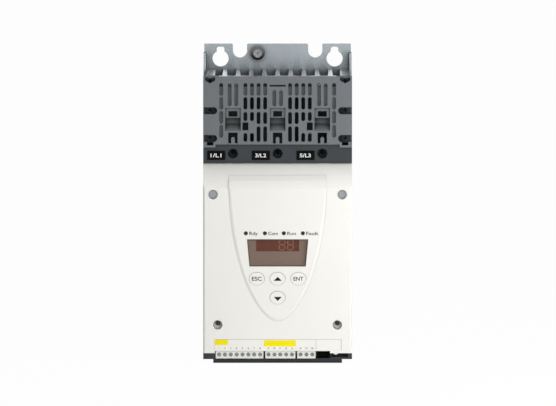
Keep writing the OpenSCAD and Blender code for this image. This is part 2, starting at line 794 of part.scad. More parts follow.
module terminal_cover() color(MID_GREY) difference() {
    d_back = d_terminal + terminal_wall;
    union() {
        block(-half_w, half_w, d_terminal, d_back, z_band1, z_top);
        for (s = SIDES) {
            x_return = half_w - terminal_wall;
            block(s > 0 ? x_return : -half_w, s > 0 ? half_w : -x_return, d_terminal, d_joint,
                z_band1 - tab_drop, z_top - top_screw_drop);
            block(s > 0 ? half_w - tab_w : -half_w, s > 0 ? half_w : -half_w + tab_w, d_terminal, d_back,
                z_band1 - tab_drop, z_band1 + 1);
            for (z = side_screw_z) cover_boss(s, z - boss_half_h, z + boss_half_h);
            cover_boss(s, top_screw_z - boss_half_h, top_screw_z + side_screw_r + 1);
        }
        for (x = phase_x)
            block(x - pocket_w / 2 - pocket_wall, x + pocket_w / 2 + pocket_wall, d_terminal,
                d_terminal + pocket_d + pocket_wall, z_top - pocket_foot, z_top - pocket_top + pocket_wall);
    }
    front_prism(d_terminal - 1, d_terminal + pocket_d + 2) vent_pattern();
    for (x = phase_x) finger_pocket(x);
    for (s = SIDES) {
        front_prism(d_terminal - 1, d_terminal + recess_d) {
            for (z = side_screw_z) screw_recess(s, z);
            middle_rect(s * side_screw_x, corner_notch_w, corner_notch_z, corner_notch_h);
            oval(s * side_screw_x, corner_notch_z, corner_notch_w, corner_notch_h);
            rect(s * side_screw_x - side_head_r, s * side_screw_x + side_head_r,
                z_band1 - 0.6, side_screw_z[1]);
        }
        depth_bar(side_head_r + 2 * fit_gap, s * side_screw_x, top_screw_z,
            d_terminal + terminal_wall, d_terminal + recess_d);
        for (z = concat(side_screw_z, top_screw_z))
            depth_bar(side_screw_r + fit_gap, s * side_screw_x, z, d_terminal, d_joint + 1);
    }
}

side_socket_r = 2;
side_socket_d = 1.3;

module terminal_cover_screws() color(BLACK)
    for (s = SIDES, z = concat(side_screw_z, top_screw_z)) {
        d_seat = d_terminal + recess_d;
        difference() {
            depth_bar(side_head_r, s * side_screw_x, z, d_seat - side_head_h, d_seat);
            translate([s * side_screw_x, front_y + d_seat - side_head_h - 1, z]) rotate([-90, 0, 0])
                cylinder(r = side_socket_r, h = side_socket_d + 1, $fn = 6);
        }
        depth_bar(side_screw_r - 0.1, s * side_screw_x, z, d_seat - 0.1, d_joint + boss_l - 3);
    }

// Front cover: pale shell with a sloping shoulder, screw wells and a seat for the control panel

// The shoulder is an arc from the crease to the marking band; t is the depth below the cover's face
shoulder_steps = 12;
crease_lean = atan2(shoulder_d, shoulder_h) - shoulder_turn / 2;
shoulder_r = norm([shoulder_d, shoulder_h]) / 2 / sin(shoulder_turn / 2);
arc_d = d_face + shoulder_r * cos(crease_lean);
arc_z = z_crease - shoulder_r * sin(crease_lean);
function lean_low(t) = acos((arc_d - d_face - t) / (shoulder_r - t));
function lean_at(t, z) = asin((z - arc_z) / (shoulder_r - t));
function arc_point(t, lean) = [arc_d - (shoulder_r - t) * cos(lean), arc_z + (shoulder_r - t) * sin(lean)];
function shoulder_arc(t, z1) = [for (k = [0 : shoulder_steps])
    arc_point(t, lean_low(t) + (lean_at(t, z1) - lean_low(t)) * k / shoulder_steps)];
function reversed(points) = [for (k = [len(points) - 1 : -1 : 0]) points[k]];

// Layer of the cover's front between two depths below its face
function front_layer(t0, t1, z0, z1) = concat([[d_face + t0, z0]], shoulder_arc(t0, z1),
    reversed(shoulder_arc(t1, z1)), [[d_face + t1, z0]]);

// Outline of the control panel, drawn in by a margin
panel_power = 2 / 1.8;
panel_top_z = z_crease + panel_top_rise;
panel_mid_z = z_crease - panel_mid_drop;
panel_round_h = panel_mid_z - panel_z;
function panel_curve(m) = [for (t = [0 : 5 : 180])
    [(panel_half_w - m) * sign(cos(t)) * pow(abs(cos(t)), panel_power),
        panel_mid_z - (panel_round_h - m) * pow(sin(t), panel_power)]];
function panel_top(m) = [[m - panel_half_w, panel_top_z - m], [panel_half_w - m, panel_top_z - m]];
function panel_outline(m) = concat(panel_curve(m), panel_top(m));

label_inset = [9.9, 9.1];
label_split = [33, 33.8];
label_rise = [2.4, 12];
label_x = concat(label_inset[0] - half_w, label_split, half_w - label_inset[1]);
label_z = [base_h + label_rise[0], base_h + label_rise[1]];
label_d = 0.3;
block_inset = 2.2;
block_x0 = block_inset - base_w / 2;
block_room = 0.8;
nose_z1 = rest_z + nose_h;
cover_screw_r = 1.7;
cover_head_r = 3.6;
cover_head_h = 2.6;
latch_tab_r = 2.6;
latch_tab_inset = 4;
latch_tab_x = latch_x0 + latch_tab_inset;

module cover_shell() {
    intersection() {
        side_prism(-half_w, half_w, concat([[d_face, base_h]], shoulder_arc(0, z_band0),
            [[d_seam, z_band0], [d_seam, base_h]]));
        plan_prism(base_h - 1, z_band0 + 1) soft_rect(-half_w, half_w, d_face, d_seam + 2 * edge_r, edge_r);
    }
}

module cover_hollow() {
    w = cover_wall;
    side_prism(-half_w + w, half_w - w, concat([[d_face + w, base_h - 1]], shoulder_arc(w, z_band0 - w),
        [[d_seam + 1, z_band0 - w], [d_seam + 1, base_h - 1]]));
}

module each_well() {
    for (s = SIDES) {
        translate([s * upper_screw_x, front_y + d_face, upper_screw_z]) rotate([-90, 0, 0])
            children(0);
        translate([s * lower_screw_x, front_y + d_face, lower_screw_z]) rotate([-90, 0, 0])
            children(1);
    }
}

module well_tube(d) {
    translate([0, 0, 1]) cylinder(r = well_r + well_wall, h = d + well_floor_t - 1);
}

module well_bore(d) {
    translate([0, 0, -1]) cylinder(r = well_r, h = d + 1);
    cylinder(r = cover_screw_r + 2 * fit_gap, h = d + well_floor_t + 1);
}

module front_cover() color(PALE) difference() {
    union() {
        difference() {
            cover_shell();
            cover_hollow();
        }
        each_well() {
            well_tube(upper_well_d);
            well_tube(lower_well_d);
        }
        depth_bar(latch_tab_r, latch_tab_x, base_h + latch_tab_r / 2, d_face + 1, d_face + cover_wall);
    }
    each_well() {
        well_bore(upper_well_d);
        well_bore(lower_well_d);
    }
    intersection() {
        side_prism(-half_w, half_w, front_layer(-1, panel_seat, 0, z_band0));
        front_prism(d_face - 2, d_seam) polygon(panel_outline(0));
    }
    front_prism(d_face, d_seam) polygon(panel_outline(panel_ledge));
    block(block_x0 - block_room, latch_x0 - latch_gap - fit_gap, d_face - 1, d_face + cover_wall + 1,
        base_h - 1, nose_z1 + fit_gap);
    for (k = [0, 2])
        block(label_x[k], label_x[k + 1], d_face - 1, d_face + label_d, label_z[0], label_z[1]);
}

module front_cover_screws() color(STEEL) each_well() {
    cover_screw(upper_well_d);
    cover_screw(lower_well_d);
}

module cover_screw(d) {
    translate([0, 0, d - cover_head_h]) difference() {
        cylinder(r = cover_head_r, h = cover_head_h);
        for (a = [0, 90]) rotate(a)
            translate([-cover_head_r / 2, -0.5, -1]) cube([cover_head_r, 1, 2]);
    }
    translate([0, 0, d - 0.1]) cylinder(r = cover_screw_r, h = well_floor_t + pillar_hole_l - 2);
}

// Control panel, its window, lights and keys

panel_back = d_panel + panel_t;
panel_fade = 5;
window_lip = 1.5;
window_back_t = 1.2;
window_sink = 0.3;
key_flange = 1.2;
key_flange_t = 1.1;
key_stem_r = 2.5;
switch_body = 3.4;
switch_h = 4.6;
switch_half = 3;
switch_plunger_r = 1.7;
key_gap = 0.25;
key_room = 0.3;
switch_gap = 0.2;
d_key_flange = panel_back + key_room;
d_key_stem = d_board - switch_h - key_travel - switch_gap;
key_places = [[-key_pitch, key_row_z], [0, key_row_z], [key_pitch, key_row_z], [0, key_row_z - key_drop]];

module window_outline(m) {
    z1 = window_z + window_h;
    polygon([[-window_bottom_w / 2 - m, window_z - m], [window_bottom_w / 2 + m, window_z - m],
        [window_top_w / 2 + m, z1 + m], [-window_top_w / 2 - m, z1 + m]]);
}

module each_light() {
    for (k = [0 : 3]) translate([light_x + k * light_pitch, front_y, light_z]) rotate([-90, 0, 0]) children();
}

// The panel's bounds: its outline, and a sloping rim that fades out towards the upper end
module panel_bounds() hull() {
    front_prism(d_face, d_seam) polygon(panel_outline(fit_gap));
    front_prism(d_panel, d_face) polygon(concat(panel_curve(fit_gap + panel_rim), panel_top(fit_gap)));
}

module control_panel() color(PALE) difference() {
    intersection() {
        side_prism(-half_w, half_w, front_layer(-panel_raise, panel_seat, 0, z_band0));
        panel_bounds();
    }
    front_prism(-1, d_board) {
        window_outline(0);
        for (p = key_places) oval(p[0], p[1], key_w + 2 * key_gap, key_h + 2 * key_gap);
    }
    each_light() cylinder(r = light_dia / 2 + fit_gap, h = d_board);
    // The raised panel runs out flush at its upper end
    side_prism(-half_w, half_w, [arc_point(-panel_raise, lean_at(0, panel_top_z - panel_fade)),
        arc_point(0, lean_at(0, panel_top_z)), arc_point(-2 * panel_raise, lean_at(0, panel_top_z + 1)),
        arc_point(-2 * panel_raise, lean_at(0, panel_top_z - panel_fade))]);
}

module display_window() color("#5a3a32") {
    front_prism(d_panel + window_sink, panel_back) window_outline(-fit_gap);
    front_prism(panel_back, panel_back + window_back_t) window_outline(window_lip);
}

display_half_w = 19;
display_h = 12;
display_d = 8;

module display_module() color(BLACK) {
    z1 = window_z + window_h + 1;
    block(-display_half_w, display_half_w, d_board - display_d, d_board, z1 - display_h, z1);
}

module status_lights() color("#2a2e33") each_light() {
    translate([0, 0, d_panel + 0.1]) cylinder(r = light_dia / 2, h = d_board - d_panel - 0.1);
    translate([0, 0, panel_back]) cylinder(r = light_dia / 2 + 1, h = 1);
}

module key(k) color(PALE) {
    p = key_places[k];
    front_prism(0, d_key_flange) oval(p[0], p[1], key_w, key_h);
    front_prism(d_key_flange, d_key_flange + key_flange_t)
        oval(p[0], p[1], key_w + 2 * key_flange, key_h + 2 * key_flange);
    depth_bar(key_stem_r, p[0], p[1], d_key_flange, d_key_stem);
}

module key_escape() key(0);
module key_up() key(1);
module key_enter() key(2);
module key_down() key(3);

module key_switches() color(BLACK)
    for (p = key_places) {
        block(p[0] - switch_half, p[0] + switch_half, d_board - switch_body, d_board,
            p[1] - switch_half, p[1] + switch_half);
        depth_bar(switch_plunger_r, p[0], p[1], d_board - switch_h, d_board - switch_body + 0.1);
    }

// Control board with its terminal blocks and serial socket

board_room = 0.8;
board_half_w = lower_screw_x - well_r - well_wall - board_room;
board_foot_half_w = base_w / 2 - housing_wall - 3 * fit_gap;
board_z0 = rest_z + 2 * fit_gap;
board_foot_z1 = lower_screw_z - well_r - well_wall - board_room;
board_z1 = upper_screw_z - 1;
nose_sink = 0.3;
nose_d = [d_face + nose_sink, d_face + cover_wall + nose_sink];
block_end = 0.6;
block_counts = [8, 5, 3];
block_w = [for (n = block_counts) n * terminal_pitch + block_end];
block_x = [block_x0, block_x0 + block_w[0] + block_gap, block_x0 + block_w[0] + block_w[1] + 2 * block_gap];
terminal_rise = 3.5;
terminal_z = rest_z + terminal_rise;
terminal_depth = 7;
terminal_gap = 0.1;
terminal_sink = 0.5;
wire_half = 1.6;
wire_h = 3;

module control_board() color(BOARD_GREEN) {
    front_prism(d_board, d_board + board_t) {
        rect(-board_half_w, board_half_w, board_z0, board_z1);
        rect(-board_foot_half_w, board_foot_half_w, board_z0, board_foot_z1);
    }
}

module terminal_block(k) color("#d9dad6") difference() {
    x0 = block_x[k];
    side_prism(x0, x0 + block_w[k], [[nose_d[0], rest_z], [nose_d[0], nose_z1], [nose_d[1], nose_z1],
        [nose_d[1], rest_z + block_h], [d_board, rest_z + block_h], [d_board, rest_z]]);
    for (n = [0 : block_counts[k] - 1]) {
        x = x0 + block_end / 2 + (n + 0.5) * terminal_pitch;
        depth_bar(terminal_screw / 2 + terminal_gap, x, terminal_z, nose_d[0] - 1, nose_d[0] + terminal_depth);
        block(x - wire_half, x + wire_half, nose_d[1] + 1, nose_d[1] + 1 + 2 * wire_half,
            rest_z - 1, rest_z + wire_h - 1.5);
    }
}

module terminal_block_8() terminal_block(0);
module terminal_block_5() terminal_block(1);
module terminal_block_3() terminal_block(2);

module control_terminal_screws() color(STEEL)
    for (k = [0 : 2], n = [0 : block_counts[k] - 1]) {
        x = block_x[k] + block_end / 2 + (n + 0.5) * terminal_pitch;
        d0 = nose_d[0] + terminal_sink;
        difference() {
            depth_bar(terminal_screw / 2, x, terminal_z, d0, nose_d[0] + terminal_depth);
            block(x - terminal_screw, x + terminal_screw, d0 - 1, d0 + 0.6, terminal_z - 0.3, terminal_z + 0.3);
        }
    }

socket_wall = 1.3;
socket_r = 2.4;
socket_mouth_h = 6.4;
socket_mouth_d = 8;

module serial_socket() color(BLACK) difference() {
    x0 = socket_x0;
    x1 = socket_x0 + socket_w;
    z0 = rest_z + socket_wall / 2;
    front_prism(nose_d[1], d_board) {
        soft_rect(x0, x1, rest_z, rest_z + block_h, socket_r);
        rect(x0, x1, rest_z + block_h / 2, rest_z + block_h);
    }
    front_prism(nose_d[1] - 1, nose_d[1] + socket_mouth_d)
        polygon([[x0 + 2 * socket_wall, z0], [x1 - 2 * socket_wall, z0], [x1 - socket_wall, z0 + socket_wall],
            [x1 - socket_wall, z0 + socket_mouth_h], [x0 + socket_wall, z0 + socket_mouth_h],
            [x0 + socket_wall, z0 + socket_wall]]);
}

// Power board and what joins the two boards

power_half_w = upper_screw_x - pillar_r - power_board_gap;
power_board_z1 = z_band0 - power_board_drop;
standoff_r = 2;
standoff_edge = 7;
standoff_z = [power_board_z + standoff_edge, power_board_z1 - standoff_edge];
spacer_r = 3;
spacer_edge = 6;
spacer_z = [power_board_z + 2 * spacer_edge, power_board_z1 - 2 * spacer_edge];
link_half_w = 13;
link_h = 6;
link_z = power_board_z + 4;
capacitor_r = 6;
supply_w = 27;
supply_h = 30;
supply_d = 22;
supply_x = -supply_w / 2 - capacitor_r;
supply_z = link_z + link_h + 16;
capacitor_l = 18;
capacitor_pitch = 15;
capacitor_z = supply_z + supply_h / 2;

module power_board() color(BOARD_GREEN)
    block(-power_half_w, power_half_w, d_power, d_power + board_t, power_board_z, power_board_z1);

module board_standoffs() color(STEEL)
    for (s = SIDES, z = standoff_z) depth_bar(standoff_r, s * phase_pitch / 2, z, d_power + board_t, d_sink);

module board_spacers() color(STEEL)
    for (s = SIDES, z = spacer_z)
        depth_bar(spacer_r, s * (power_half_w - spacer_edge), z, d_board + board_t, d_power);

module board_link() color(BLACK)
    block(-link_half_w, link_half_w, d_board + board_t, d_power, link_z, link_z + link_h);

module supply_transformer() color("#c9a63a")
    block(supply_x - supply_w / 2, supply_x + supply_w / 2, d_power - supply_d, d_power,
        supply_z, supply_z + supply_h);

module capacitors() color("#2b3a55")
    for (k = [1, 2])
        depth_bar(capacitor_r, k * capacitor_pitch - spacer_r, capacitor_z, d_power - capacitor_l, d_power);

// Power path, one of each piece for a phase

strap_half = strap_w / 2;
terminal_inset = 8;
line_bolt_z = z_module1 - flange_h - terminal_inset;
motor_bolt_z = z_module0 + flange_h + terminal_inset;
bolt_r = 2.4;
bolt_head_r = 4.2;
bolt_head_h = 3;
bolt_l = 10;
strap_end = 5;
leg_x = [strap_half + 1.5, strap_half + 4.5];
transformer_half_w = strap_half + 5;
transformer_half_d = 8;
module_flange_d = 8;
motor_lug_z = base_h;
motor_screw_z = motor_lug_z + lug_h / 2;
line_strap_z1 = z_shelf + lug_h;

module thyristor(k) color(BLACK) difference() {
    x = phase_x[k];
    side_prism(x - module_w / 2, x + module_w / 2, [[d_module, z_module0 + flange_h],
        [d_module, z_module1 - flange_h], [d_sink - module_flange_d, z_module1 - flange_h],
        [d_sink - module_flange_d, z_module1], [d_sink, z_module1], [d_sink, z_module0],
        [d_sink - module_flange_d, z_module0], [d_sink - module_flange_d, z_module0 + flange_h]]);
    for (z = module_screw_z) depth_bar(stud_r + fit_gap, x, z, d_module, d_sink + 1);
    for (z = [line_bolt_z, motor_bolt_z])
        depth_bar(bolt_r + fit_gap, x, z, d_module - 1, d_module + bolt_l + 1);
}

module thyristor_screws() color(STEEL)
    for (x = phase_x, z = module_screw_z) {
        d_seat = d_sink - module_flange_d;
        depth_bar(foot_head_r, x, z, d_seat - foot_head_h, d_seat);
        depth_bar(stud_r, x, z, d_seat - 0.1, d_fin - 1.5);
    }

module bypass_relay(k) color("#3a4a5c")
    block(phase_x[k] - relay_w / 2, phase_x[k] + relay_w / 2, d_module, d_sink, z_relay0, z_relay1);

module line_busbar(k) color(COPPER) difference() {
    x = phase_x[k];
    front_prism(d_strap, d_module) {
        rect(x - strap_half, x + strap_half, line_bolt_z - strap_end, line_strap_z1);
        rect(x, x + leg_x[1], line_bolt_z - strap_end, line_bolt_z + strap_end);
        rect(x + leg_x[0], x + leg_x[1], z_relay1 - 2 * strap_end, line_bolt_z + strap_end);
    }
    depth_bar(bolt_r + fit_gap, x, line_bolt_z, d_strap - 1, d_module + 1);
}

module motor_busbar(k) color(COPPER) difference() {
    x = phase_x[k];
    block(x - strap_half, x + strap_half, d_strap, d_module, motor_lug_z, motor_bolt_z + strap_end);
    depth_bar(bolt_r + fit_gap, x, motor_bolt_z, d_strap - 1, d_module + 1);
}

module busbar_screws() color(STEEL)
    for (x = phase_x, z = [line_bolt_z, motor_bolt_z]) {
        depth_bar(bolt_head_r, x, z, d_strap - bolt_head_h, d_strap);
        depth_bar(bolt_r, x, z, d_strap - 0.1, d_module + bolt_l);
    }

module lug(k, z) color("#c8cac8") difference() {
    plan_prism(z, z + lug_h) lug_outline(phase_x[k]);
    depth_bar(lug_screw / 2 + 0.1, phase_x[k], z + lug_h / 2, lug_front - 1, lug_front + lug_wall + 1);
}

lug_screw_out = 8;
lug_screw_in = 4;
hex_r = 2.6;

module lug_screws() color(STEEL)
    for (x = phase_x, z = [access_z, motor_screw_z]) difference() {
        depth_bar(lug_screw / 2, x, z, lug_front - lug_screw_out, lug_front + lug_wall + lug_screw_in);
        translate([x, front_y + lug_front - lug_screw_out - 1, z]) rotate([-90, 0, 0])
            cylinder(r = hex_r, h = lug_screw_in + 1, $fn = 6);
    }

module current_transformer(k) color("#26303a") difference() {
    x = phase_x[k];
    d_mid = (d_strap + d_module) / 2;
    block(x - transformer_half_w, x + transformer_half_w, d_mid - transformer_half_d,
        d_mid + transformer_half_d, z_transformer0, z_transformer0 + transformer_h);
    block(x - strap_half - fit_gap, x + strap_half + fit_gap, d_strap - fit_gap, d_module + fit_gap,
        z_transformer0 - 1, z_transformer0 + transformer_h + 1);
}

thermostat_gap = 2.35;
thermostat_r = (phase_pitch - module_w) / 2 - thermostat_gap;
thermostat_z = z_module0 + standoff_edge;
thermostat_h = 7;

module thermostat() color(BLACK)
    depth_bar(thermostat_r, phase_pitch / 2, thermostat_z, d_sink - thermostat_h, d_sink);

module thyristor_1() thyristor(0);
module thyristor_2() thyristor(1);
module thyristor_3() thyristor(2);
module bypass_relay_1() bypass_relay(0);
module bypass_relay_2() bypass_relay(1);
module bypass_relay_3() bypass_relay(2);
module line_busbar_1() line_busbar(0);
module line_busbar_2() line_busbar(1);
module line_busbar_3() line_busbar(2);
module motor_busbar_1() motor_busbar(0);
module motor_busbar_2() motor_busbar(1);
module motor_busbar_3() motor_busbar(2);
module line_lug_1() lug(0, z_shelf);
module line_lug_2() lug(1, z_shelf);
module line_lug_3() lug(2, z_shelf);
module motor_lug_1() lug(0, motor_lug_z);
module motor_lug_2() lug(1, motor_lug_z);
module motor_lug_3() lug(2, motor_lug_z);
module current_transformer_1() current_transformer(0);
module current_transformer_2() current_transformer(1);
module current_transformer_3() current_transformer(2);

mounting_plate();
heat_sink();
housing();
terminal_cover();
front_cover();
control_panel();
display_window();
display_module();
status_lights();
key_escape();
key_up();
key_enter();
key_down();
control_board();
key_switches();
terminal_block_8();
terminal_block_5();
terminal_block_3();
control_terminal_screws();
serial_socket();
power_board();
board_standoffs();
board_spacers();
board_link();
supply_transformer();
capacitors();
thyristor_1();
thyristor_2();
thyristor_3();
thyristor_screws();
bypass_relay_1();
bypass_relay_2();
bypass_relay_3();
line_busbar_1();
line_busbar_2();
line_busbar_3();
motor_busbar_1();
motor_busbar_2();
motor_busbar_3();
busbar_screws();
line_lug_1();
line_lug_2();
line_lug_3();
motor_lug_1();
motor_lug_2();
motor_lug_3();
lug_screws();
current_transformer_1();
current_transformer_2();
current_transformer_3();
thermostat();
earth_screw();
earth_washer();
plate_screws();
housing_screws();
front_cover_screws();
terminal_cover_screws();
marking_tags();
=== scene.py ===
# %% [markdown]
# # A panel-mounted soft starter
#
# This lesson dresses the CAD model of a soft starter, the grey and white box
# that runs a three-phase motor up gently. What is left for Blender is what a
# solid can't say: finishes, soft edges, printing, light and the camera.

# %% Load the frame
import json
import math

import bmesh
import bpy
from mathutils import Matrix, Vector


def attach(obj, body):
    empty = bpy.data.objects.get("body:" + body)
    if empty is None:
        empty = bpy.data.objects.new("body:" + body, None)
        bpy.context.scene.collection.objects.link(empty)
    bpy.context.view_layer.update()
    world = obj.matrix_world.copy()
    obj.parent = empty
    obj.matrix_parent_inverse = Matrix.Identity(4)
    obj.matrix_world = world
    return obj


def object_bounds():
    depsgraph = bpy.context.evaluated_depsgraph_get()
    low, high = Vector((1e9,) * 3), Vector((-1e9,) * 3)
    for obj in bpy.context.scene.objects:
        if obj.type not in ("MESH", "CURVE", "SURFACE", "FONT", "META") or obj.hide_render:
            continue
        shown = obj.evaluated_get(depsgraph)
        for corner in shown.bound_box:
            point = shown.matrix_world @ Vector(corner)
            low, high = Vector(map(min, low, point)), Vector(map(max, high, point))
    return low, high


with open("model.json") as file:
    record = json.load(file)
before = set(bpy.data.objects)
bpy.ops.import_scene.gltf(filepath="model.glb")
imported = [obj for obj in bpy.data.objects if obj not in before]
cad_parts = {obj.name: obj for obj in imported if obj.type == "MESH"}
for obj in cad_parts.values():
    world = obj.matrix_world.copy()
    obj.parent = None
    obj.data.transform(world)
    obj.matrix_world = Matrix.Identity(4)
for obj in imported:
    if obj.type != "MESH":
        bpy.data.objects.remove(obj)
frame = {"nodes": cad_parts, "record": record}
nodes = frame["nodes"]
cad_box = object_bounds()
print("CAD nodes:", len(nodes), "box:", [[round(v, 4) for v in corner] for corner in cad_box])

# %% [markdown]
# The drawing of this device counts depth back from the key faces, because that
# is where a hand meets it. One helper turns such a point, in millimetres, into
# Blender's metres, so the numbers below can be read off the drawing. Another
# puts a new object in the scene.

# %% Millimetres to metres
MM = 0.001
FRONT = cad_box[0][1]


def at(x, depth, z):
    return Vector((x * MM, FRONT + depth * MM, z * MM))


def new_object(name, data):
    made = bpy.data.objects.new(name, data)
    bpy.context.collection.objects.link(made)
    return made


print("front of the device at y =", round(FRONT, 4))

# %% [markdown]
# ## Camera
#
# A catalogue picture like this is taken from far away with a long lens, so the
# sides hardly converge. Five degrees of tilt show a little of every top face.
# The camera stands twelve metres off, and the lens is worked out so that the
# frame is as wide as the picture's: 481 mm at the front of the device.

# %% Camera
CAMERA_TILT = math.radians(5)
CAMERA_FAR = 12.0
CAMERA_AIM = Vector((0.00035, 0, 0.1319))
CAMERA_REACH = 40
FRAME_WIDTH = 0.4814
SENSOR_WIDTH = 36

lens = bpy.data.cameras.new("long_lens")
lens.sensor_width = SENSOR_WIDTH
lens.lens = SENSOR_WIDTH * (CAMERA_FAR + FRONT) / FRAME_WIDTH
lens.clip_end = CAMERA_REACH
camera = new_object("camera", lens)
away = Vector((0, -math.cos(CAMERA_TILT), math.sin(CAMERA_TILT)))
camera.location = CAMERA_AIM + CAMERA_FAR * away
camera.rotation_euler = (math.pi / 2 - CAMERA_TILT, 0, 0)
bpy.context.scene.camera = camera
bpy.context.scene.view_settings.view_transform = "Standard"
print("lens:", round(lens.lens, 1), "mm")

# %% [markdown]
# ## Node helpers
#
# Colours are written as the hex values a painter's chart gives, and Blender
# shades in linear light, so one function converts them. A second one adds a
# shader node with its settings and links in a single call. The short ones after
# it are the few moves that every finish below is made of.

# %% Colours and nodes


def linear(hex_colour):
    parts = [int(hex_colour[i:i + 2], 16) / 255 for i in (1, 3, 5)]
    return tuple(c / 12.92 if c <= 0.04045 else ((c + 0.055) / 1.055) ** 2.4 for c in parts) + (1,)


def feed(tree, node, inputs):
    """Link or set the inputs of a node."""
    for socket, value in inputs.items():
        if isinstance(value, bpy.types.NodeSocket):
            tree.links.new(value, node.inputs[socket])
        else:
            node.inputs[socket].default_value = value


def add(tree, kind, inputs=None, **settings):
    node = tree.nodes.new(kind)
    for key, value in settings.items():
        setattr(node, key, value)
    feed(tree, node, inputs or {})
    return node


def per_mm(size):
    """Noise scale for a pattern of this size in millimetres, on Object coordinates in metres."""
    return 1 / (size * MM)


def noise(tree, place, size, detail, **more):
    inputs = {"Vector": place, "Scale": per_mm(size), "Detail": detail, **more}
    return add(tree, "ShaderNodeTexNoise", inputs).outputs["Fac"]


def math_of(tree, operation, *values):
    return add(tree, "ShaderNodeMath", dict(enumerate(values)), operation=operation).outputs[0]


def mix(tree, amount, first, second, how="MIX"):
    inputs = {"Fac": amount, "Color1": first, "Color2": second}
    return add(tree, "ShaderNodeMixRGB", inputs, blend_type=how).outputs[0]


def spread(tree, value, low, high, limits=(0.0, 1.0)):
    """The value, taken between its limits, spread over low to high."""
    inputs = {"Value": value, "From Min": limits[0], "From Max": limits[1],
              "To Min": low, "To Max": high}
    return add(tree, "ShaderNodeMapRange", inputs).outputs[0]


def relief(tree, height, strength, depth):
    """A bumped normal; the depth is in millimetres."""
    inputs = {"Height": height, "Strength": strength, "Distance": depth * MM}
    return add(tree, "ShaderNodeBump", inputs).outputs[0]


print("white in linear light:", [round(c, 3) for c in linear("#ffffff")])

# %% [markdown]
# ## Floor and light
#
# The picture has a plain white ground. Pockets and slots are dark at the top,
# so the main soft box stands in front and above. The front grows paler to the
# right, so a small box stands close on that side. The sloping shoulder is darker
# than the flat front, so the overhead box and the world are dim. The ground is
# made white for the camera with Light Path instead of with more light, and a
# part of it stays a real surface, so the device keeps its soft contact shadow.

# %% Studio
AMBIENT = 0.2
FULL = 1.0
FLOOR_GLOW = 0.98
FLOOR_HALF = 9
LAMP_AIM = Vector((0, 0, 0.13))
WHITE = linear("#ffffff")


def bare_tree(owner):
    owner.use_nodes = True
    owner.node_tree.nodes.clear()
    return owner.node_tree


def seen_directly(tree):
    """1 for rays from the camera and for rays that mirror or pass through."""
    path = add(tree, "ShaderNodeLightPath").outputs
    seen = math_of(tree, "MAXIMUM", path["Is Camera Ray"], path["Is Glossy Ray"])
    return math_of(tree, "MAXIMUM", seen, path["Is Transmission Ray"])


def either_shader(tree, amount, first, second):
    inputs = {0: amount, 1: first.outputs[0], 2: second.outputs[0]}
    return add(tree, "ShaderNodeMixShader", inputs).outputs[0]


def soft_box(name, place, width, watts):
    lamp = bpy.data.lights.new(name, "AREA")
    lamp.size = width
    lamp.energy = watts
    box = new_object(name, lamp)
    box.location = place
    box.rotation_euler = (LAMP_AIM - box.location).to_track_quat("-Z", "Y").to_euler()


world = bpy.data.worlds.new("studio")
bpy.context.scene.world = world
tree = bare_tree(world)
ambient = add(tree, "ShaderNodeBackground", {"Color": WHITE, "Strength": AMBIENT})
backdrop = add(tree, "ShaderNodeBackground", {"Color": WHITE, "Strength": FULL})
sky = either_shader(tree, seen_directly(tree), ambient, backdrop)
add(tree, "ShaderNodeOutputWorld", {"Surface": sky})

soft_box("front_box", (0.3, -3.2, 0.75), 1.0, 41)
soft_box("near_right_box", (0.4, -0.38, 0.2), 0.3, 1.35)
soft_box("overhead_box", (0.2, -0.6, 2.0), 1.0, 0.8)

floor_mesh = bpy.data.meshes.new("floor")
sheet = bmesh.new()
bmesh.ops.create_grid(sheet, x_segments=1, y_segments=1, size=FLOOR_HALF)
sheet.to_mesh(floor_mesh)
sheet.free()
floor = new_object("floor", floor_mesh)
paper = bpy.data.materials.new("matt_white_paper")
tree = bare_tree(paper)
surface = add(tree, "ShaderNodeBsdfDiffuse", {"Color": linear("#f4f4f2")})
glow = add(tree, "ShaderNodeEmission", {"Color": WHITE, "Strength": FULL})
amount = math_of(tree, "MULTIPLY", seen_directly(tree), FLOOR_GLOW)
ground = either_shader(tree, amount, surface, glow)
add(tree, "ShaderNodeOutputMaterial", {"Surface": ground})
floor_mesh.materials.append(paper)

# %% [markdown]
# ## Moulded plastics
#
# The covers, the housing and the keys are injection moulded. Their tools are
# spark eroded, which leaves a fine even grain that breaks up the gloss, and the
# melt leaves clouds of slightly different tone as wide as a hand. The true grain
# is near 0.1 mm, too fine for this picture, so it is drawn coarser. Shade is
# painted into the corners: ambient occlusion finds them and darkens the colour.
# On the wall behind the slots of the ventilated cover, light is painted as a
# paler patch. Its top is left out, so it stays dark as shade.

# %% Plastic finishes
MELT_CLOUD = 70
GRAIN_GLOSS = 0.07
GRAIN_STRENGTH = 0.35
PLASTIC_CORNERS = (0.45, 0.95)
PLASTIC_IOR = 1.53


def finish_of(name):
    material = bpy.data.materials.new(name)
    material.use_nodes = True
    tree = material.node_tree
    place = add(tree, "ShaderNodeTexCoord").outputs["Object"]
    return material, tree, tree.nodes["Principled BSDF"], place


def darker_corners(tree, tone, amount, reach, limits):
    """Painted shade: the tone, darkened by this amount in corners that are up to reach millimetres
    deep.
    """
    corners = add(tree, "ShaderNodeAmbientOcclusion", {"Distance": reach * MM}, samples=6)
    shade_factor = spread(tree, corners.outputs["AO"], 1 - amount, 1, limits)
    return mix(tree, 1.0, tone, shade_factor, "MULTIPLY")


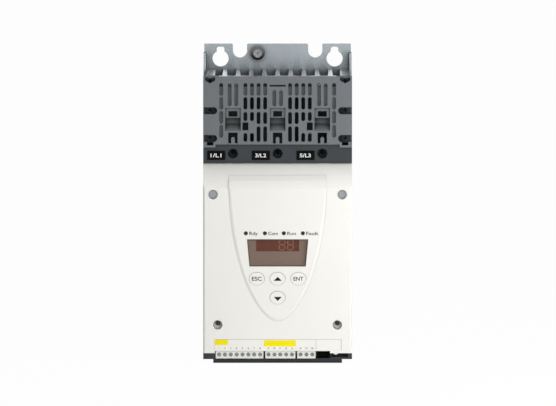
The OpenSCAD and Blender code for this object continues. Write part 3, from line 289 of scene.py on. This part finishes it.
def moulded(name, colour, cloud_colour, roughness, grain, grain_depth, corner_shade, reach=4, sheen=0.2):
    """Lengths are in millimetres: the grain, its depth and how far the painted corner shade
    reaches.
    """
    material, tree, shader, place = finish_of(name)
    clouds = noise(tree, place, MELT_CLOUD, 3)
    tone = mix(tree, clouds, linear(colour), linear(cloud_colour))
    sparks = noise(tree, place, grain, 4, Roughness=0.6)
    feed(tree, shader, {
        "Base Color": darker_corners(tree, tone, corner_shade, reach, PLASTIC_CORNERS),
        "Roughness": spread(tree, sparks, roughness - GRAIN_GLOSS, roughness + GRAIN_GLOSS),
        "Normal": relief(tree, sparks, GRAIN_STRENGTH, grain_depth),
        "IOR": PLASTIC_IOR,
        "Specular IOR Level": sheen,
    })
    return material


# In each finish below, the darkening of corners is painted shade.
finishes = {
    # Pale polycarbonate blend: warm white, half matt, hardly any tone
    "pale_plastic": moulded("pale_polycarbonate", "#f0efea", "#ebeae4", roughness=0.46,
                            grain=0.9, grain_depth=0.05, corner_shade=0.1),
    # Glass-filled polyamide of the ventilated cover: cool mid grey, matt, with strong shade
    # painted into its recesses
    "mid_grey_plastic": moulded("mid_grey_polyamide", "#717578", "#6b6f73", roughness=0.58,
                                grain=0.8, grain_depth=0.08, corner_shade=0.93, reach=11, sheen=0.15),
    # The same polyamide in a darker grey for the housing, with shade painted into its corners
    "dark_grey_plastic": moulded("dark_grey_polyamide", "#3d4144", "#383c3f", roughness=0.55,
                                 grain=0.8, grain_depth=0.08, corner_shade=0.8, reach=7, sheen=0.12),
    # Black ABS of the marking tags and the socket: nearly no gloss
    "black_plastic": moulded("black_abs", "#07090a", "#0a0c0d", roughness=0.5,
                             grain=0.7, grain_depth=0.04, corner_shade=0.3, sheen=0.03),
    # ABS key caps, smoother than the cover, with shade painted dark into the gap round each
    "key_plastic": moulded("pale_key_abs", "#f0efea", "#ecebe5", roughness=0.38,
                           grain=0.8, grain_depth=0.03, corner_shade=0.95, reach=3),
    # Pale polyester of the plug-in terminals: a cooler white, with shade painted grey into its
    # corners
    "terminal_plastic": moulded("pale_terminal_polyester", "#e3e3de", "#dadad4", roughness=0.42,
                                grain=0.8, grain_depth=0.04, corner_shade=0.5),
    # Blue-black polyester case of the bypass relays
    "relay_plastic": moulded("relay_case_polyester", "#2a2f36", "#23272d", roughness=0.36,
                             grain=0.9, grain_depth=0.05, corner_shade=0.3),
    # Epoxy that fills the thyristor modules: a dull warm grey
    "potting": moulded("module_epoxy", "#6b6258", "#5d554c", roughness=0.5,
                       grain=1.0, grain_depth=0.06, corner_shade=0.3),
}

# Middle of the painted patch of light on the wall behind the slots, and half its size, in mm
LIT_PATCH_MIDDLE = (0, 17.2, 213.8)
LIT_PATCH_HALF = (51, 0.3, 25.1)


def dust_slot_wall(material, lit_patch_colour):
    """Painted light: a paler patch on the one wall of the housing that faces the slots. Its top is
    left out, so it stays dark as shade.
    """
    tree = material.node_tree
    shader = tree.nodes["Principled BSDF"]
    bare = shader.inputs["Base Color"].links[0].from_socket
    place = add(tree, "ShaderNodeTexCoord").outputs["Object"]
    axes = add(tree, "ShaderNodeSeparateXYZ", {0: place}).outputs
    amount = 1.0
    for axis, middle, half in zip("XYZ", at(*LIT_PATCH_MIDDLE), LIT_PATCH_HALF):
        near = math_of(tree, "COMPARE", axes[axis], middle, half * MM)
        amount = math_of(tree, "MULTIPLY", amount, near)
    feed(tree, shader, {"Base Color": mix(tree, amount, bare, linear(lit_patch_colour))})


dust_slot_wall(finishes["dark_grey_plastic"], "#5e6468")
print("plastics:", [m.name for m in finishes.values()])

# %% [markdown]
# ## Metals
#
# The plate is zinc-plated sheet: pale, a little blue, with soft clouds from the
# bath. The heat sink is extruded aluminium, and the die leaves fine lines along
# its length, so that noise is stretched along the height. Edges that hands and
# tools rub are brighter: a Bevel node turns the normal near an edge, and where
# it leaves the true normal there is an edge. Shade is painted into deep corners:
# ambient occlusion finds them and darkens the colour.

# %% Metal finishes
RUBBED_WIDTH = 0.6
RUBBED_COLOUR = "#f2f3f4"
RUBBED_LIMITS = (0.75, 1.0)
DIE_LINE = 0.7
DIE_LINE_DEPTH = 0.04
LINE_GLOSS = 0.09
LINE_STRENGTH = 0.25
METAL_CORNERS = (0.25, 0.9)


def metal(name, colour, cloud_colour, roughness, cloud, stretch, shine, hollow_shade=0.3, reach=4):
    """Clouds and the reach of the painted corner shade are in millimetres; stretch draws the lines
    out upwards.
    """
    material, tree, shader, place = finish_of(name)
    clouds = noise(tree, place, cloud, 5)
    tone = mix(tree, clouds, linear(colour), linear(cloud_colour))
    rounded = add(tree, "ShaderNodeBevel", {"Radius": RUBBED_WIDTH * MM}, samples=4).outputs[0]
    true = add(tree, "ShaderNodeNewGeometry").outputs["Normal"]
    same = add(tree, "ShaderNodeVectorMath", {0: rounded, 1: true}, operation="DOT_PRODUCT")
    rubbed = spread(tree, same.outputs["Value"], shine, 0.0, RUBBED_LIMITS)
    worn = mix(tree, rubbed, tone, linear(RUBBED_COLOUR))
    drawn = add(tree, "ShaderNodeMapping", {"Vector": place, "Scale": (1, 1, 1 / stretch)})
    lines = noise(tree, drawn.outputs[0], DIE_LINE, 3)
    feed(tree, shader, {
        "Base Color": darker_corners(tree, worn, hollow_shade, reach, METAL_CORNERS),
        "Roughness": spread(tree, lines, roughness - LINE_GLOSS, roughness + LINE_GLOSS),
        "Normal": relief(tree, lines, LINE_STRENGTH, DIE_LINE_DEPTH),
        "Metallic": 1.0,
    })
    return material


# In each metal below, the darkening of corners is painted shade.
finishes.update({
    # Zinc-plated sheet steel: cloudy, half bright, with shade painted dark near the heat sink
    "plate_steel": metal("zinc_plated_sheet", "#7e8487", "#74797d", roughness=0.46,
                         cloud=14, stretch=1, shine=0.3, hollow_shade=0.85, reach=30),
    # Extruded aluminium: bright enough to mirror what stands behind, with lines along the fins and
    # shade painted between them
    "sink_aluminium": metal("extruded_aluminium", "#c2c5c7", "#aeb1b3", roughness=0.2,
                            cloud=30, stretch=60, shine=0.3, hollow_shade=0.4, reach=24),
    # Zinc-plated screws, dulled by handling
    "screw_steel": metal("zinc_plated_screw", "#6c6e70", "#5e6062", roughness=0.45,
                         cloud=3, stretch=1, shine=0.4, hollow_shade=0.3),
    # Bright zinc on the screws of the front cover: light is painted into its colour, paler than
    # the other screws, so that they stay pale in the shade down their wells
    "cover_screw_steel": metal("zinc_painted_paler", "#7c7f82", "#707376", roughness=0.4,
                               cloud=3, stretch=1, shine=0.3, hollow_shade=0.5),
    # Dull passivated screws of the control terminals
    "terminal_screw_steel": metal("passivated_screw", "#6a6c6d", "#5a5c5d", roughness=0.4,
                                  cloud=2, stretch=1, shine=0.3, hollow_shade=0.6),
    # Blackened steel of the terminal cover's screws, with shade painted deep into their recesses
    "black_screw": metal("blackened_steel", "#1d2022", "#16181a", roughness=0.42,
                         cloud=3, stretch=1, shine=0.15, hollow_shade=0.85, reach=14),
    # Tinned copper of the busbars: warm grey where the tin is thin
    "busbar_copper": metal("tinned_copper", "#c7b3a0", "#b98a66", roughness=0.34,
                           cloud=9, stretch=20, shine=0.4),
    # Plated brass of the cable lugs, with shade painted dark over them in the depth of the
    # compartment
    "lug_metal": metal("plated_brass_lug", "#c4bfae", "#b3ad98", roughness=0.32,
                       cloud=4, stretch=1, shine=0.3, hollow_shade=0.97, reach=25),
})
print("metals:", [n for n, m in finishes.items()
                  if m.node_tree.nodes["Principled BSDF"].inputs["Metallic"].default_value])

# %% [markdown]
# ## Boards, sleeves and the window
#
# The boards only show through the slots and from above, but a real one is never
# flat green: solder mask over copper tracks shows as straight lanes of a lighter
# green. The display window is smoked red-brown acrylic. It is drawn as a thin
# veil of its own colour over what lies behind it, as the picture shows it.

# %% Other finishes
TRACK = {"Mortar Size": 0.35 * MM, "Brick Width": 9 * MM, "Row Height": 2.5 * MM}
FINE_DEPTH = 0.05
WAVE_TURN = 6.28


def solder_mask(name):
    material, tree, shader, place = finish_of(name)
    upright = add(tree, "ShaderNodeMapping", {"Vector": place, "Rotation": (math.pi / 2, 0, 0)})
    lanes = add(tree, "ShaderNodeTexBrick", {
        "Vector": upright.outputs[0], "Color1": linear("#0d2a1a"), "Color2": linear("#0a2214"),
        "Mortar": linear("#164028"), "Scale": 1.0, **TRACK}).outputs
    feed(tree, shader, {"Base Color": lanes["Color"], "Roughness": 0.3,
                        "Normal": relief(tree, lanes["Fac"], 0.4, FINE_DEPTH)})
    return material


def sleeve(name, colour, band_colour, band, roughness):
    """Wound tape or shrunk film: bands of this width in millimetres, one above the other."""
    material, tree, shader, place = finish_of(name)
    wave = {"Vector": place, "Scale": per_mm(band) / WAVE_TURN, "Distortion": 0.6, "Detail": 2}
    bands = add(tree, "ShaderNodeTexWave", wave, bands_direction="Z").outputs["Fac"]
    feed(tree, shader, {"Base Color": mix(tree, bands, linear(colour), linear(band_colour)),
                        "Normal": relief(tree, bands, 0.3, FINE_DEPTH), "Roughness": roughness})
    return material


def smoked_acrylic(name):
    material, tree, shader, place = finish_of(name)
    haze = noise(tree, place, 20, 2)
    feed(tree, shader, {"Base Color": mix(tree, haze, linear("#764a3a"), linear("#7a5040")),
                        "Alpha": 0.3, "Specular IOR Level": 0.03, "Roughness": 0.12, "IOR": 1.49})
    return material


finishes.update({
    # Green solder mask with paler lanes over the tracks
    "circuit_board": solder_mask("solder_mask_on_tracks"),
    # Yellow polyester tape wound round the transformers
    "transformer_tape": sleeve("polyester_winding_tape", "#c9a53a", "#b8922b",
                               band=2.0, roughness=0.35),
    # Shrunk PVC sleeve of the capacitors: dark blue-grey, half bright
    "capacitor_sleeve": sleeve("shrunk_pvc_sleeve", "#20262e", "#2b323b",
                               band=3.0, roughness=0.3),
    # Smoked acrylic of the window: a brown veil, hardly any gloss
    "window_plastic": smoked_acrylic("smoked_acrylic"),
    # Dark light pipes: the lamps behind them are off; a little shade is painted into their corners
    "light_pipe": moulded("dark_light_pipe", "#1d2226", "#23292d", roughness=0.25,
                          grain=0.6, grain_depth=0.02, corner_shade=0.2),
})
print("finishes in all:", len(finishes))

# %% [markdown]
# ## Dress the CAD nodes
#
# Each node takes the finish of its slot in the record, and two sets of screws
# take a finish of their own. A moulding has no knife edges, so the nodes that
# show get a Weld, which joins the loose triangles, and a small Bevel. The width
# is what a tool maker would put there: under a millimetre on the covers, less on
# small parts.

# %% Finishes and soft edges
JOIN_WITHIN = 0.002
SHARP_ANGLE = math.radians(35)


def paint(node, material):
    for place in nodes[node].material_slots:
        place.material = material


for part in frame["record"]["subparts"]:
    paint(part["node"], finishes[part["material_slot"]])
paint("control_terminal_screws", finishes["terminal_screw_steel"])
paint("front_cover_screws", finishes["cover_screw_steel"])


def soften(width, *names):
    """Soft edges of this width in millimetres."""
    for name in names:
        weld = nodes[name].modifiers.new("join_triangles", "WELD")
        weld.merge_threshold = JOIN_WITHIN * MM
        edge = nodes[name].modifiers.new("soft_edges", "BEVEL")
        edge.width = width * MM
        edge.segments = 2
        edge.limit_method = "ANGLE"
        edge.angle_limit = SHARP_ANGLE
        faces = nodes[name].modifiers.new("even_shading", "WEIGHTED_NORMAL")
        faces.keep_sharp = True


soften(0.7, "front_cover")
soften(0.4, "terminal_cover", "housing")
soften(0.3, "mounting_plate", "heat_sink")
soften(0.3, "key_escape", "key_up", "key_enter", "key_down")
soften(0.25, "terminal_block_8", "terminal_block_5", "terminal_block_3")
soften(0.25, "marking_tags", "serial_socket")
soften(0.2, "terminal_cover_screws", "earth_screw", "earth_washer", "plate_screws", "lug_screws")
soften(0.4, *(f"{side}_lug_{phase}" for side in ("line", "motor") for phase in (1, 2, 3)))
print("softened nodes:", sum(1 for o in nodes.values() if o.modifiers))

# %% [markdown]
# ## Printing
#
# Pad-printed ink stands a few hundredths of a millimetre proud. Text objects
# give the letters; each becomes a mesh, is scaled to its real capital height
# and is laid on the face it is printed on, so the object itself can stay at the
# origin. Each print rides on the body that carries it: key legends go down
# with their keys.

# %% Ink
INK = 0.04
INK_ROUGHNESS = 0.5
INK_SPECK = 0.8
FONT_CAPITAL = 0.69
FONT_WEIGHT = 0.014
FONT_EXTRUDE = 0.02


def ink(name, colour, speck_colour, sheen=0.5):
    """Pad-printing ink: flat, half matt, a little uneven where the pad lifted."""
    material, tree, shader, place = finish_of(name)
    lift = noise(tree, place, INK_SPECK, 2)
    feed(tree, shader, {"Base Color": mix(tree, lift, linear(colour), linear(speck_colour)),
                        "Roughness": INK_ROUGHNESS, "Specular IOR Level": sheen})
    return material


inks = {
    "black": ink("black_ink", "#23272a", "#2b2f33", sheen=0.05),
    "dark": ink("dark_grey_ink", "#2a2f34", "#343a40", sheen=0.1),
    "soft": ink("mid_grey_ink", "#4a4f53", "#565b5f", sheen=0.1),
    "fine": ink("pale_grey_ink", "#8d9294", "#9a9fa1"),
    "white": ink("white_ink", "#f2f2f0", "#e6e6e3"),
    "yellow": ink("yellow_vinyl", "#f7e906", "#f3e204", sheen=0.1),
}


def keep(name, shape, material, body):
    """A finished bmesh becomes a piece of its body."""
    bmesh.ops.recalc_face_normals(shape, faces=shape.faces)
    mesh = bpy.data.meshes.new(name)
    shape.to_mesh(mesh)
    shape.free()
    mesh.materials.append(material)
    piece = new_object(name, mesh)
    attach(piece, body)


def words(name, text, place, capital, material, body, across=None):
    """Lettering centred on a place (x, depth, z) of a face; across sets its printed width."""
    x, depth, z = place
    curve = bpy.data.curves.new(name, "FONT")
    curve.body = text
    curve.extrude = FONT_EXTRUDE
    curve.offset = FONT_WEIGHT
    holder = new_object(name + "_curve", curve)
    bpy.context.view_layer.update()
    shape = bmesh.new()
    shape.from_mesh(holder.to_mesh())
    holder.to_mesh_clear()
    bpy.data.objects.remove(holder)
    low = [min(v.co[k] for v in shape.verts) for k in range(3)]
    high = [max(v.co[k] for v in shape.verts) for k in range(3)]
    tall = capital * MM / FONT_CAPITAL
    wide = across * MM / (high[0] - low[0]) if across else tall
    thick = INK * MM / (high[2] - low[2])
    middle = ((low[0] + high[0]) / 2, FONT_CAPITAL / 2, 0)
    bmesh.ops.translate(shape, verts=shape.verts, vec=-Vector(middle))
    bmesh.ops.scale(shape, verts=shape.verts, vec=(wide, tall, thick))
    bmesh.ops.rotate(shape, verts=shape.verts, matrix=Matrix.Rotation(math.pi / 2, 3, "X"))
    bmesh.ops.translate(shape, verts=shape.verts, vec=at(x, depth - INK / 2, z))
    keep(name, shape, material, body)


# Printed faces: their depth, the height of the print's middle and that of a capital, in mm
TAG_FACE, TAG_Z, TAG_CAPITAL, TAG_ACROSS = 14.2, 179.45, 3.15, 9.5
PANEL_FACE, STATUS_Z, STATUS_CAPITAL = 0.5, 112.8, 2.75
KEY_FACE, KEY_ROW_Z, KEY_CAPITAL = 0, 73.4, 3.3
PHASES = (-38.7, 0, 38.7)
TAG_LEFT_OF_PHASE = 14.7
STATUS_WORDS = (("Rdy", -20.8, 7.4), ("Com", -4.0, 8.2), ("Run", 12.1, 7.6), ("Fault", 30.0, 10.4))
KEY_WORDS = (("escape", "ESC", -18, 8.6), ("enter", "ENT", 18, 8.4))

for x, text in zip(PHASES, ("1/L1", "3/L2", "5/L3")):
    words("phase_mark_" + text[0], text, (x - TAG_LEFT_OF_PHASE, TAG_FACE, TAG_Z), TAG_CAPITAL,
          inks["white"], "base", TAG_ACROSS)
for k, (text, x, across) in enumerate(STATUS_WORDS, 1):
    words(f"status_word_{k}", text, (x, PANEL_FACE, STATUS_Z), STATUS_CAPITAL,
          inks["dark"], "base", across)
for key, text, x, across in KEY_WORDS:
    words("legend_" + key, text, (x, KEY_FACE, KEY_ROW_Z), KEY_CAPITAL,
          inks["dark"], f"key_{key}_body", across)
print("letterings:", len(PHASES) + len(STATUS_WORDS) + len(KEY_WORDS))

# %% [markdown]
# The two arrows are triangles: a circle of three corners, stretched to the
# printed size and given the thickness of the ink. Bars and fields start from a
# cube that is scaled to their real size.

# %% Arrows, fields and lines
ARROW_X, ARROW_ACROSS = 0.1, 6.8
# A triangle in a circle of radius 1: its width, its height and its base below the middle
TRIANGLE_WIDE, TRIANGLE_TALL, TRIANGLE_BELOW = 1.732, 1.5, 0.5


def arrow(name, z_base, z_tip, body):
    shape = bmesh.new()
    bmesh.ops.create_circle(shape, cap_ends=True, segments=3, radius=1)
    bmesh.ops.rotate(shape, verts=shape.verts, matrix=Matrix.Rotation(math.pi / 2, 3, "X"))
    tip = max(shape.verts, key=lambda v: v.co.z)
    turn = -math.atan2(tip.co.x, tip.co.z)
    bmesh.ops.rotate(shape, verts=shape.verts, matrix=Matrix.Rotation(turn, 3, "Y"))
    grown = bmesh.ops.extrude_face_region(shape, geom=shape.faces[:])["geom"]
    front = [v for v in grown if isinstance(v, bmesh.types.BMVert)]
    bmesh.ops.translate(shape, verts=front, vec=(0, -1, 0))
    bmesh.ops.translate(shape, verts=shape.verts, vec=(0, 0, TRIANGLE_BELOW))
    wide = ARROW_ACROSS * MM / TRIANGLE_WIDE
    tall = (z_tip - z_base) * MM / TRIANGLE_TALL
    bmesh.ops.scale(shape, verts=shape.verts, vec=(wide, INK * MM, tall))
    bmesh.ops.translate(shape, verts=shape.verts, vec=at(ARROW_X, KEY_FACE, z_base))
    keep(name, shape, inks["black"], body)


def bar(shape, *spans):
    """A box; its spans along x, in depth and along z are pairs of millimetres."""
    made = bmesh.ops.create_cube(shape, size=1)["verts"]
    bmesh.ops.scale(shape, verts=made, vec=[(b - a) * MM for a, b in spans])
    bmesh.ops.translate(shape, verts=made, vec=at(*((a + b) / 2 for a, b in spans)))


arrow("legend_up", 71.6, 75.1, "key_up_body")
arrow("legend_down", 57.6, 54.1, "key_down_body")

# %% [markdown]
# The strip above the terminals is a clear label in a shallow recess, with two
# yellow fields. A fine frame is printed on the cover round it. The terminals
# below it are numbered, so that a wiring diagram can call them.

# %% Terminal label
LABEL = 1.5
LABEL_RECESS = 0.3
COVER_FACE = LABEL - LABEL_RECESS
LINE = 0.2
LINE_DEPTHS = (COVER_FACE - INK, COVER_FACE)
FIELD_THICK = 0.1
FIELD_DEPTHS = (LABEL - FIELD_THICK, LABEL)
LABEL_LEFT, LABEL_SPLIT, LABEL_RIGHT = -54.6, 33.3, 55.4
LABEL_LOW, LABEL_TOP = 11.1, 20.6
FIELDS = (((-54.3, -43.1), (15.6, 20.3)), ((-11.7, 15.8), (14.4, 19.7)))
PITCH = 5.08
# Where the first way of each block begins, and how many ways it has
BLOCKS = ((-53.3, 8), (-10.36, 5), (17.34, 3))
NUMBER_Z, NUMBER_TALL = 12.8, 1.5

frame_lines = bmesh.new()
bar(frame_lines, (LABEL_LEFT, LABEL_RIGHT), LINE_DEPTHS, (LABEL_TOP - LINE, LABEL_TOP))
for x in (LABEL_LEFT, LABEL_RIGHT - LINE, LABEL_SPLIT):
    bar(frame_lines, (x, x + LINE), LINE_DEPTHS, (LABEL_LOW, LABEL_TOP))
keep("label_frame", frame_lines, inks["fine"], "base")

fields = bmesh.new()
for across, upright in FIELDS:
    bar(fields, across, FIELD_DEPTHS, upright)
keep("yellow_fields", fields, inks["yellow"], "base")

ways = [start + (k + 0.5) * PITCH for start, count in BLOCKS for k in range(count)]
for number, x in enumerate(ways, 1):
    words(f"terminal_mark_{number}", str(number), (x, LABEL, NUMBER_Z), NUMBER_TALL,
          inks["soft"], "base")
print("terminal numbers:", len(ways))

# %% [markdown]
# ## Screw wells
#
# The screws at the bottom of the cover are held captive: a neck part way down
# each deep well lets a screwdriver in, but keeps the screw's head behind it. The
# neck is pale like the cover, and it is what the eye meets in the well.

# %% Necks of the lower wells
LOWER_WELL_X, LOWER_WELL_Z = 51.8, 33.1
NECK_DEPTHS = (18, 19.2)
NECK_RADII = (4.08, 2.1)


def hollow_plate(shape, outer, inner, front, back):
    """A plate with one opening: two outlines with as many corners, between two depths."""
    rows = [[shape.verts.new(at(x, depth, z)) for x, z in outline]
            for outline, depth in ((outer, front), (inner, front), (inner, back), (outer, back))]
    for k, row in enumerate(rows):
        for n in range(len(row)):
            shape.faces.new((row[n], row[n - 1], rows[k - 1][n - 1], rows[k - 1][n]))


def circle(x, z, radius, corners=48):
    turns = [2 * math.pi * n / corners for n in range(corners)]
    return [(x + radius * math.cos(turn), z + radius * math.sin(turn)) for turn in turns]


for name, x in (("left_well_neck", -LOWER_WELL_X), ("right_well_neck", LOWER_WELL_X)):
    neck = bmesh.new()
    hollow_plate(neck, *(circle(x, LOWER_WELL_Z, radius) for radius in NECK_RADII), *NECK_DEPTHS)
    keep(name, neck, finishes["pale_plastic"], "base")
print("necks in the lower wells:", NECK_DEPTHS[0], "mm deep")

# %% [markdown]
# ## Display
#
# A thin dark line is printed round the window's edge. Behind the smoked window
# a film hides the board, with an opening for the display. Two figures of seven
# segments show in it, unlit, so they are only a little paler than their dark
# red face.

# %% Display film and figures
WINDOW = ((-26.3, 107.4), (26.3, 107.4), (24.15, 84.3), (-24.15, 84.3))
WINDOW_MIDDLE_Z = 96
BORDER = 0.5
BORDER_DEPTHS = (0.76, 0.8)
FILM_HALF, OPENING_HALF = 27, 18.6
FILM_LOW, OPENING_LOW, FILM_TOP = 83.1, 97.1, 108.7
FILM_DEPTHS = (3.0, 3.2)
FIGURE_DEPTHS = (5.1, 5.2)
FIGURES_X = (3.8, 11.2)
FLAT_Z, FLAT_HALF = (98.1, 102.5, 106.9), 1.9
UPRIGHT_Z, UPRIGHT_HALF, UPRIGHT_OUT = (100.3, 104.7), 1.6, 2.4
STROKE_HALF = 0.45


def span(middle, half):
    return middle - half, middle + half


inner = [(x - math.copysign(BORDER, x), z - math.copysign(BORDER, z - WINDOW_MIDDLE_Z))
         for x, z in WINDOW]
border = bmesh.new()
hollow_plate(border, WINDOW, inner, *BORDER_DEPTHS)
keep("window_border", border, inks["dark"], "base")

film = bmesh.new()
bar(film, (-FILM_HALF, FILM_HALF), FILM_DEPTHS, (FILM_LOW, OPENING_LOW))
bar(film, (-FILM_HALF, -OPENING_HALF), FILM_DEPTHS, (OPENING_LOW, FILM_TOP))
bar(film, (OPENING_HALF, FILM_HALF), FILM_DEPTHS, (OPENING_LOW, FILM_TOP))
screen_film = ink("brown_screen_film", "#8d8074", "#85776c")
keep("display_film", film, screen_film, "base")
paint("display_module", ink("dark_red_display_epoxy", "#6c3122", "#642b1e"))

figures = bmesh.new()
for x in FIGURES_X:
    for z in FLAT_Z:
        bar(figures, span(x, FLAT_HALF), FIGURE_DEPTHS, span(z, STROKE_HALF))
    for upright_x in span(x, UPRIGHT_OUT):
        for z in UPRIGHT_Z:
            bar(figures, span(upright_x, STROKE_HALF), FIGURE_DEPTHS, span(z, UPRIGHT_HALF))
unlit = ink("unlit_segment_epoxy", "#cc9a86", "#bf8d79")
keep("display_figures", figures, unlit, "base")
print("display segments:", len(FIGURES_X) * (len(FLAT_Z) + 2 * len(UPRIGHT_Z)))
